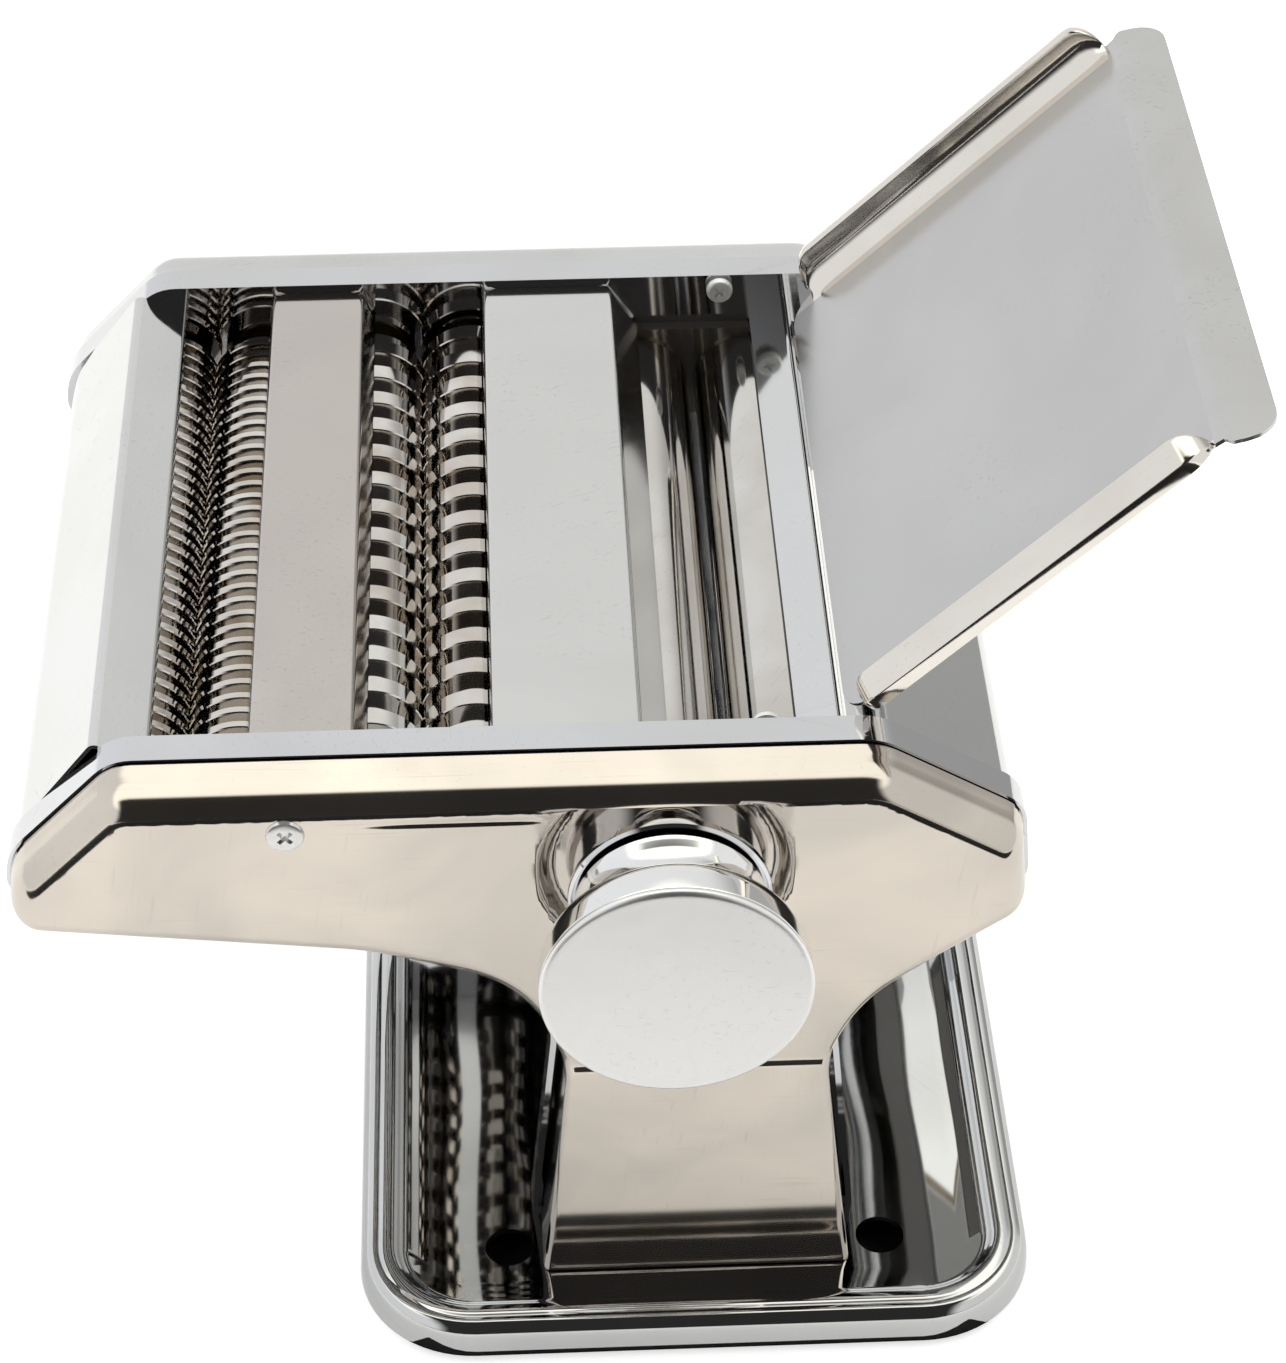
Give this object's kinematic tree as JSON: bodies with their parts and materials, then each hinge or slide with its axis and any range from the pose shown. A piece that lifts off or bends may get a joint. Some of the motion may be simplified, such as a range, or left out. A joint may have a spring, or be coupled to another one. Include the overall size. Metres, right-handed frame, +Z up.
{
  "type": "pasta roller machine",
  "caption": "Hand-turned pasta machine on a pressed base: smooth rollers with a gap dial, fine and wide cutters side by side, and a sloping feed tray.",
  "frame": {"origin": "on the table, under the middle of the box that the whole machine fits in", "axes": "+Z up, +X towards the feed tray, +Y towards the crank side, away from the dial"},
  "size_m": [0.2377, 0.238, 0.1976],
  "materials": {
    "cover_steel": "polished, fine scratches",
    "plate_steel": "polished",
    "base_steel": "mirror polished",
    "panel_steel": "polished",
    "strip_steel": "satin with a fine scratch",
    "tray_steel": "satin",
    "roller_steel": "polished",
    "cutter_steel": "polished",
    "shaft_steel": "turned",
    "gear_steel": "cut and greased",
    "bush_bronze": "turned",
    "comb_steel": "stamped",
    "screw_steel": "plated",
    "spring_steel": "drawn wire",
    "dial_chrome": "mirror plated",
    "dial_face": "satin",
    "foot_rubber": "moulded"
  },
  "bodies": {
    "frame": {"base_tray": "base_steel", "cover_posts": "shaft_steel", "cover_screws": "screw_steel", "feed_tray": "tray_steel", "fine_comb_left": "comb_steel", "fine_comb_right": "comb_steel", "fixed_roller_scraper": "comb_steel", "foot_nuts": "screw_steel", "foot_screws": "screw_steel", "front_bushes": "bush_bronze", "front_cover": "cover_steel", "front_end_guard": "plate_steel", "front_side_plate": "plate_steel", "index_ring": "plate_steel", "left_end_panel": "panel_steel", "moving_roller_scraper": "comb_steel", "narrow_strip": "strip_steel", "rear_bushes": "bush_bronze", "rear_cover": "cover_steel", "rear_end_guard": "plate_steel", "rear_side_plate": "plate_steel", "right_end_panel": "panel_steel", "roller_guide": "panel_steel", "rubber_feet": "foot_rubber", "tie_rod_nuts": "screw_steel", "tie_rods": "shaft_steel", "tray_screws": "screw_steel", "wide_comb_left": "comb_steel", "wide_comb_right": "comb_steel", "wide_strip": "strip_steel"},
    "fixed_roller_set": {"fixed_roller": "roller_steel", "fixed_roller_shaft": "shaft_steel", "fixed_roller_gear": "gear_steel"},
    "bearing_blocks": {"front_bearing_block": "shaft_steel", "rear_bearing_block": "shaft_steel"},
    "moving_roller_set": {"moving_roller": "roller_steel", "moving_roller_shaft": "shaft_steel", "moving_roller_gear": "gear_steel"},
    "cam_set": {"cam_shaft": "shaft_steel", "dial_spring": "spring_steel"},
    "dial": {"dial_knob": "dial_chrome", "dial_cap": "dial_face", "locking_pin": "screw_steel"},
    "fine_right_set": {"fine_cutter_right": "cutter_steel", "fine_shaft_right": "shaft_steel", "fine_gear_right": "gear_steel"},
    "fine_left_set": {"fine_cutter_left": "cutter_steel", "fine_shaft_left": "shaft_steel", "fine_gear_left": "gear_steel"},
    "wide_right_set": {"wide_cutter_right": "cutter_steel", "wide_shaft_right": "shaft_steel", "wide_gear_right": "gear_steel"},
    "wide_left_set": {"wide_cutter_left": "cutter_steel", "wide_shaft_left": "shaft_steel", "wide_gear_left": "gear_steel"}
  },
  "joints": [
    {"name": "fixed_roller_spin", "type": "hinge", "parent": "frame", "child": "fixed_roller_set", "pos_m": [0.0335, 0.003, 0.109], "axis": [0, 1, 0], "continuous": true},
    {"name": "dial_turn", "type": "hinge", "parent": "frame", "child": "cam_set", "pos_m": [0.0077, 0.003, 0.109], "axis": [0, -1, 0], "range_deg": [-120, 120]},
    {"name": "dial_pull", "type": "slide", "parent": "cam_set", "child": "dial", "axis": [0, -1, 0], "range_m": [0, 0.004], "stiffness_N_per_m": 600},
    {"name": "gap_slide", "type": "slide", "parent": "frame", "child": "bearing_blocks", "axis": [1, 0, 0], "range_m": [-0.00125, 0.00125]},
    {"name": "moving_roller_spin", "type": "hinge", "parent": "bearing_blocks", "child": "moving_roller_set", "pos_m": [0.0077, 0.003, 0.109], "axis": [0, 1, 0], "continuous": true},
    {"name": "fine_right_spin", "type": "hinge", "parent": "frame", "child": "fine_right_set", "pos_m": [-0.0739, 0.003, 0.1145], "axis": [0, 1, 0], "continuous": true},
    {"name": "fine_left_spin", "type": "hinge", "parent": "frame", "child": "fine_left_set", "pos_m": [-0.0951, 0.003, 0.1145], "axis": [0, 1, 0], "continuous": true},
    {"name": "wide_right_spin", "type": "hinge", "parent": "frame", "child": "wide_right_set", "pos_m": [-0.0282, 0.003, 0.1145], "axis": [0, 1, 0], "continuous": true},
    {"name": "wide_left_spin", "type": "hinge", "parent": "frame", "child": "wide_left_set", "pos_m": [-0.0494, 0.003, 0.1145], "axis": [0, 1, 0], "continuous": true}
  ],
  "couplings": [
    {"joint": "moving_roller_spin", "follows": "fixed_roller_spin", "ratio": -1},
    {"joint": "gap_slide", "follows": "dial_turn", "m_per_rad": 0.0005968},
    {"joint": "fine_left_spin", "follows": "fine_right_spin", "ratio": -1},
    {"joint": "wide_left_spin", "follows": "wide_right_spin", "ratio": -1}
  ]
}
